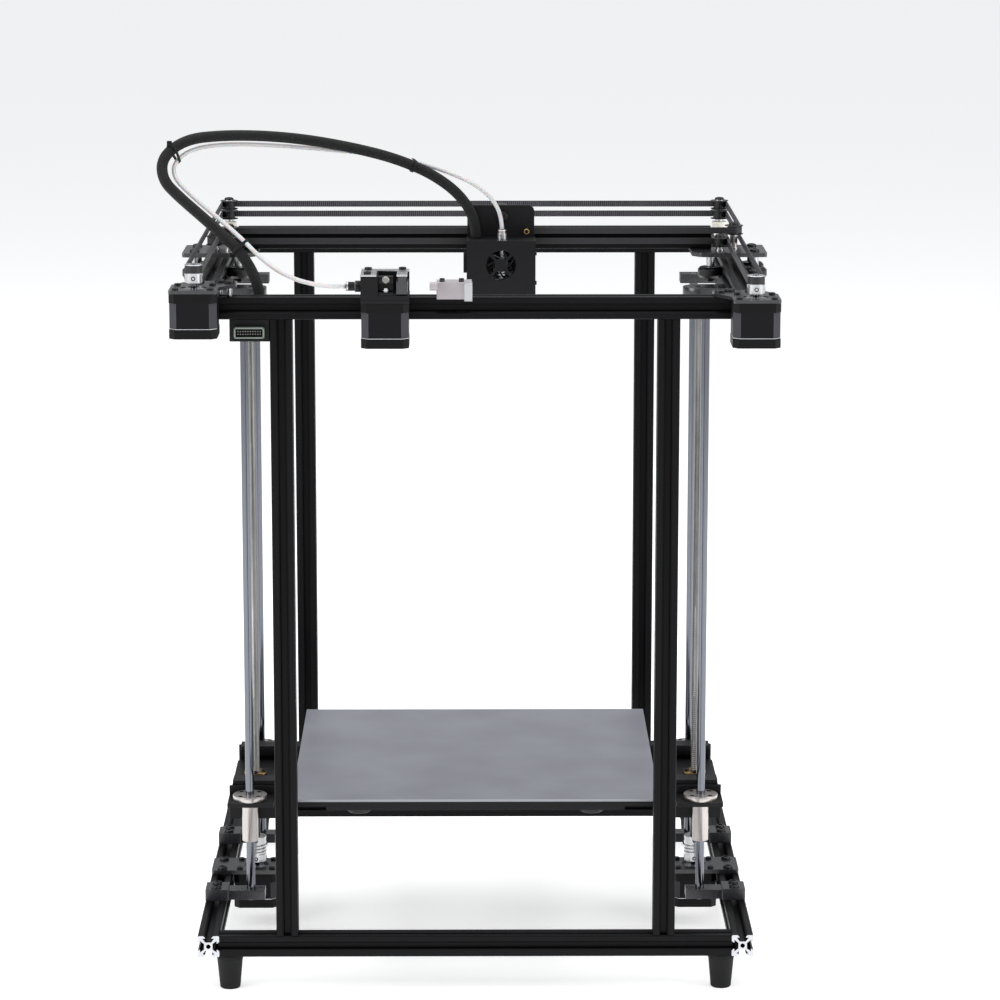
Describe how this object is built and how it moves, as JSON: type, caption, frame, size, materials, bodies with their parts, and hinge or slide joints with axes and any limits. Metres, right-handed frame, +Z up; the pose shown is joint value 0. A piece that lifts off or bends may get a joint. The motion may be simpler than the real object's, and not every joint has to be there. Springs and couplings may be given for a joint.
{
  "type": "fdm printer",
  "caption": "Open-frame desktop 3-D printer: slotted aluminium beams, crossed-belt gantry with hotend carriage, bed lifted by two lead screws, bowden extruder.",
  "frame": {"origin": "on the floor, below the middle of the printer's outline (between the front of the belt motors and the rear of the frame)", "axes": "+Z up, +Y towards the rear, +X to the right seen from the front"},
  "size_m": [0.5662, 0.5322, 0.7766],
  "materials": {
    "black_anodised": "satin anodised",
    "black_powder": "fine powder coat",
    "black_steel": "black oxide",
    "motor_black": "satin",
    "chrome_rod": "polished",
    "screw_steel": "rolled thread",
    "nickel": "ground nickel",
    "brass": "machined",
    "bare_aluminium": "machined",
    "rubber_black": "matt",
    "belt_rubber": "matt ribbed",
    "black_plastic": "moulded",
    "white_plastic": "moulded",
    "tube_white": "translucent",
    "sleeve_black": "braided",
    "plate_grey": "satin textured"
  },
  "bodies": {
    "frame": {"base_beams": "black_anodised", "top_beams": "black_anodised", "posts": "black_anodised", "feet": "rubber_black", "guide_rods": "chrome_rod", "rod_brackets": "black_powder", "motor_plates": "black_powder", "motors": "motor_black", "extruder_motor": "motor_black", "rear_idler_posts": "black_steel", "extruder_bracket": "black_powder", "extruder_body": "black_powder", "filament_sensor": "white_plastic", "connector_box": "black_plastic", "frame_screws": "black_steel", "belt_fixed_runs": "belt_rubber", "belt_side_runs": "belt_rubber", "cable_sleeve": "sleeve_black", "feed_tube": "tube_white"},
    "gantry": {"gantry_beam": "black_anodised", "gantry_plates": "black_powder", "gantry_bolts": "black_steel", "belt_cross_runs": "belt_rubber"},
    "carriage": {"carriage_plate": "black_powder", "hotend_cover": "black_powder", "hotend": "bare_aluminium"},
    "bed": {"bed_beams": "black_anodised", "bed_brackets": "black_powder", "flange_bearings": "nickel", "lead_nuts": "brass", "bed_support": "black_powder", "heated_bed": "bare_aluminium", "build_plate": "plate_grey", "level_springs": "screw_steel"},
    "drive_pulley_left": {"drive_pulley_left": "bare_aluminium"},
    "rear_idlers_left": {"rear_idlers_left": "black_plastic"},
    "lead_screw_left": {"lead_screw_left": "screw_steel"},
    "gantry_wheel_left_outer_front": {"gantry_wheel_left_outer_front": "black_plastic"},
    "gantry_wheel_left_outer_rear": {"gantry_wheel_left_outer_rear": "black_plastic"},
    "gantry_wheel_left_inner": {"gantry_wheel_left_inner": "black_plastic"},
    "gantry_idler_left_inner": {"gantry_idler_left_inner": "black_plastic"},
    "gantry_idler_left_outer": {"gantry_idler_left_outer": "black_plastic"},
    "drive_pulley_right": {"drive_pulley_right": "bare_aluminium"},
    "rear_idlers_right": {"rear_idlers_right": "black_plastic"},
    "lead_screw_right": {"lead_screw_right": "screw_steel"},
    "gantry_wheel_right_outer_front": {"gantry_wheel_right_outer_front": "black_plastic"},
    "gantry_wheel_right_outer_rear": {"gantry_wheel_right_outer_rear": "black_plastic"},
    "gantry_wheel_right_inner": {"gantry_wheel_right_inner": "black_plastic"},
    "gantry_idler_right_inner": {"gantry_idler_right_inner": "black_plastic"},
    "gantry_idler_right_outer": {"gantry_idler_right_outer": "black_plastic"},
    "carriage_wheel_top": {"carriage_wheel_top": "black_plastic"},
    "carriage_wheel_low_left": {"carriage_wheel_low_left": "black_plastic"},
    "carriage_wheel_low_right": {"carriage_wheel_low_right": "black_plastic"},
    "fan_rotor": {"fan_rotor": "black_plastic"},
    "drive_gear": {"drive_gear": "brass"},
    "extruder_lever": {"extruder_lever": "bare_aluminium"},
    "thumb_wheel_left_front": {"thumb_wheel_left_front": "black_plastic"},
    "thumb_wheel_left_rear": {"thumb_wheel_left_rear": "black_plastic"},
    "thumb_wheel_right_front": {"thumb_wheel_right_front": "black_plastic"},
    "thumb_wheel_right_rear": {"thumb_wheel_right_rear": "black_plastic"}
  },
  "joints": [
    {"name": "gantry_slide", "type": "slide", "parent": "frame", "child": "gantry", "axis": [0, 1, 0], "range_m": [-0.158, 0.14], "deforming": ["belt_side_runs", "cable_sleeve", "feed_tube"]},
    {"name": "carriage_slide", "type": "slide", "parent": "gantry", "child": "carriage", "axis": [1, 0, 0], "range_m": [-0.165, 0.125], "deforming": ["belt_cross_runs"]},
    {"name": "bed_slide", "type": "slide", "parent": "frame", "child": "bed", "axis": [0, 0, 1], "range_m": [0, 0.415]},
    {"name": "drive_pulley_left_spin", "type": "hinge", "parent": "frame", "child": "drive_pulley_left", "pos_m": [-0.2475, -0.245, 0.642], "axis": [0, 0, 1], "range_deg": [-1337, 1014]},
    {"name": "rear_idlers_left_spin", "type": "hinge", "parent": "frame", "child": "rear_idlers_left", "pos_m": [-0.2475, 0.25415, 0.642], "axis": [0, 0, 1], "range_deg": [-1337, 1014]},
    {"name": "lead_screw_left_spin", "type": "hinge", "parent": "frame", "child": "lead_screw_left", "pos_m": [-0.2125, -0.00585, 0.3], "axis": [0, 0, 1], "range_deg": [-18680, 5]},
    {"name": "gantry_wheel_left_outer_front_spin", "type": "hinge", "parent": "gantry", "child": "gantry_wheel_left_outer_front", "pos_m": [-0.26575, 0.01815, 0.632], "axis": [0, 0, 1], "range_deg": [-848, 752]},
    {"name": "gantry_wheel_left_outer_rear_spin", "type": "hinge", "parent": "gantry", "child": "gantry_wheel_left_outer_rear", "pos_m": [-0.26575, 0.05815, 0.632], "axis": [0, 0, 1], "range_deg": [-848, 752]},
    {"name": "gantry_wheel_left_inner_spin", "type": "hinge", "parent": "gantry", "child": "gantry_wheel_left_inner", "pos_m": [-0.22425, 0.02315, 0.632], "axis": [0, 0, 1], "range_deg": [-752, 848]},
    {"name": "gantry_idler_left_inner_spin", "type": "hinge", "parent": "gantry", "child": "gantry_idler_left_inner", "pos_m": [-0.2333, 0.02835, 0.642], "axis": [0, 0, 1], "range_deg": [-1014, 1337]},
    {"name": "gantry_idler_left_outer_spin", "type": "hinge", "parent": "gantry", "child": "gantry_idler_left_outer", "pos_m": [-0.2475, 0.04255, 0.642], "axis": [0, 0, 1], "range_deg": [-1337, 1014]},
    {"name": "drive_pulley_right_spin", "type": "hinge", "parent": "frame", "child": "drive_pulley_right", "pos_m": [0.2475, -0.245, 0.642], "axis": [0, 0, 1], "range_deg": [-1337, 1014]},
    {"name": "rear_idlers_right_spin", "type": "hinge", "parent": "frame", "child": "rear_idlers_right", "pos_m": [0.2475, 0.25415, 0.642], "axis": [0, 0, 1], "range_deg": [-1337, 1014]},
    {"name": "lead_screw_right_spin", "type": "hinge", "parent": "frame", "child": "lead_screw_right", "pos_m": [0.2125, -0.00585, 0.3], "axis": [0, 0, 1], "range_deg": [-18680, 5]},
    {"name": "gantry_wheel_right_outer_front_spin", "type": "hinge", "parent": "gantry", "child": "gantry_wheel_right_outer_front", "pos_m": [0.26575, 0.01815, 0.632], "axis": [0, 0, 1], "range_deg": [-752, 848]},
    {"name": "gantry_wheel_right_outer_rear_spin", "type": "hinge", "parent": "gantry", "child": "gantry_wheel_right_outer_rear", "pos_m": [0.26575, 0.05815, 0.632], "axis": [0, 0, 1], "range_deg": [-752, 848]},
    {"name": "gantry_wheel_right_inner_spin", "type": "hinge", "parent": "gantry", "child": "gantry_wheel_right_inner", "pos_m": [0.22425, 0.02315, 0.632], "axis": [0, 0, 1], "range_deg": [-848, 752]},
    {"name": "gantry_idler_right_inner_spin", "type": "hinge", "parent": "gantry", "child": "gantry_idler_right_inner", "pos_m": [0.2333, 0.02835, 0.642], "axis": [0, 0, 1], "range_deg": [-1014, 1337]},
    {"name": "gantry_idler_right_outer_spin", "type": "hinge", "parent": "gantry", "child": "gantry_idler_right_outer", "pos_m": [0.2475, 0.04255, 0.642], "axis": [0, 0, 1], "range_deg": [-1337, 1014]},
    {"name": "carriage_wheel_top_spin", "type": "hinge", "parent": "carriage", "child": "carriage_wheel_top", "pos_m": [0.0248, 0.05015, 0.68275], "axis": [0, 1, 0], "range_deg": [-885, 672]},
    {"name": "carriage_wheel_low_left_spin", "type": "hinge", "parent": "carriage", "child": "carriage_wheel_low_left", "pos_m": [0.0048, 0.05015, 0.64125], "axis": [0, 1, 0], "range_deg": [-672, 885]},
    {"name": "carriage_wheel_low_right_spin", "type": "hinge", "parent": "carriage", "child": "carriage_wheel_low_right", "pos_m": [0.0448, 0.05015, 0.64125], "axis": [0, 1, 0], "range_deg": [-672, 885]},
    {"name": "fan_rotor_spin", "type": "hinge", "parent": "carriage", "child": "fan_rotor", "pos_m": [0.0248, 0, 0.64247], "axis": [0, 1, 0], "continuous": true},
    {"name": "drive_gear_spin", "type": "hinge", "parent": "frame", "child": "drive_gear", "pos_m": [-0.0792, -0.245, 0.642], "axis": [0, 0, 1], "continuous": true},
    {"name": "extruder_lever_swing", "type": "hinge", "parent": "frame", "child": "extruder_lever", "pos_m": [-0.06405, -0.26015, 0.642], "axis": [0, 0, 1], "range_deg": [-8, 0], "stiffness_Nm_per_rad": 0.8, "springref_deg": 11.46},
    {"name": "thumb_wheel_left_front_turn", "type": "hinge", "parent": "bed", "child": "thumb_wheel_left_front", "pos_m": [-0.108, -0.15185, 0.15], "axis": [0, 0, 1], "continuous": true},
    {"name": "thumb_wheel_left_rear_turn", "type": "hinge", "parent": "bed", "child": "thumb_wheel_left_rear", "pos_m": [-0.108, 0.14015, 0.15], "axis": [0, 0, 1], "continuous": true},
    {"name": "thumb_wheel_right_front_turn", "type": "hinge", "parent": "bed", "child": "thumb_wheel_right_front", "pos_m": [0.108, -0.15185, 0.15], "axis": [0, 0, 1], "continuous": true},
    {"name": "thumb_wheel_right_rear_turn", "type": "hinge", "parent": "bed", "child": "thumb_wheel_right_rear", "pos_m": [0.108, 0.14015, 0.15], "axis": [0, 0, 1], "continuous": true}
  ],
  "couplings": [
    {"joint": "drive_pulley_left_spin", "follows": "carriage_slide", "rad_per_m": 140.85},
    {"joint": "rear_idlers_left_spin", "follows": "carriage_slide", "rad_per_m": 140.85},
    {"joint": "lead_screw_left_spin", "follows": "bed_slide", "rad_per_m": -785.4},
    {"joint": "gantry_wheel_left_outer_front_spin", "follows": "gantry_slide", "rad_per_m": 93.023},
    {"joint": "gantry_wheel_left_outer_rear_spin", "follows": "gantry_slide", "rad_per_m": 93.023},
    {"joint": "gantry_wheel_left_inner_spin", "follows": "gantry_slide", "rad_per_m": -93.023},
    {"joint": "gantry_idler_left_inner_spin", "follows": "carriage_slide", "rad_per_m": -140.85},
    {"joint": "gantry_idler_left_outer_spin", "follows": "carriage_slide", "rad_per_m": 140.85},
    {"joint": "drive_pulley_right_spin", "follows": "carriage_slide", "rad_per_m": 140.85},
    {"joint": "rear_idlers_right_spin", "follows": "carriage_slide", "rad_per_m": 140.85},
    {"joint": "lead_screw_right_spin", "follows": "bed_slide", "rad_per_m": -785.4},
    {"joint": "gantry_wheel_right_outer_front_spin", "follows": "gantry_slide", "rad_per_m": -93.023},
    {"joint": "gantry_wheel_right_outer_rear_spin", "follows": "gantry_slide", "rad_per_m": -93.023},
    {"joint": "gantry_wheel_right_inner_spin", "follows": "gantry_slide", "rad_per_m": 93.023},
    {"joint": "gantry_idler_right_inner_spin", "follows": "carriage_slide", "rad_per_m": -140.85},
    {"joint": "gantry_idler_right_outer_spin", "follows": "carriage_slide", "rad_per_m": 140.85},
    {"joint": "carriage_wheel_top_spin", "follows": "carriage_slide", "rad_per_m": 93.023},
    {"joint": "carriage_wheel_low_left_spin", "follows": "carriage_slide", "rad_per_m": -93.023},
    {"joint": "carriage_wheel_low_right_spin", "follows": "carriage_slide", "rad_per_m": -93.023}
  ]
}
